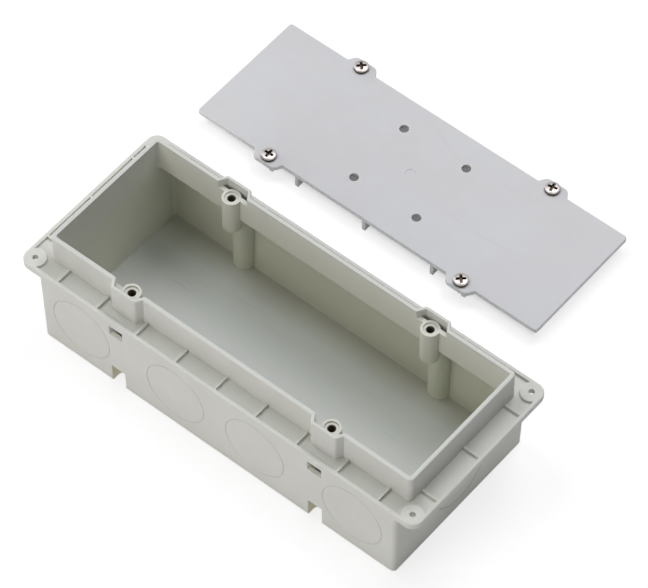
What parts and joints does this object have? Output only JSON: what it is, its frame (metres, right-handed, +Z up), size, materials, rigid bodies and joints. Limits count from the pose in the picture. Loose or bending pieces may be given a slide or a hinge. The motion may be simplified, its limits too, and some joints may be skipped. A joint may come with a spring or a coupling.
{
  "type": "flush back box",
  "caption": "Long flush-mounting wiring box in light grey plastic with a ribbed flange, screw bosses and side knockouts, and its flat cover with screws laid beside it.",
  "frame": {"origin": "middle of the box's underside, on the surface it stands on", "axes": "+X along the box's length to the right, +Y from the front long wall towards the back one and the cover laid aside, +Z up out of the opening"},
  "size_m": [0.2632, 0.2312, 0.0685],
  "materials": {
    "box_plastic": "fine moulded satin, warm light grey",
    "cover_plastic": "fine moulded satin, cooler light grey",
    "screw_steel": "bright nickel-plated steel"
  },
  "bodies": {
    "root": {"back_box": "box_plastic", "cover_plate": "cover_plastic", "cover_screw_front_left": "screw_steel", "cover_screw_front_right": "screw_steel", "cover_screw_back_left": "screw_steel", "cover_screw_back_right": "screw_steel"}
  },
  "joints": []
}
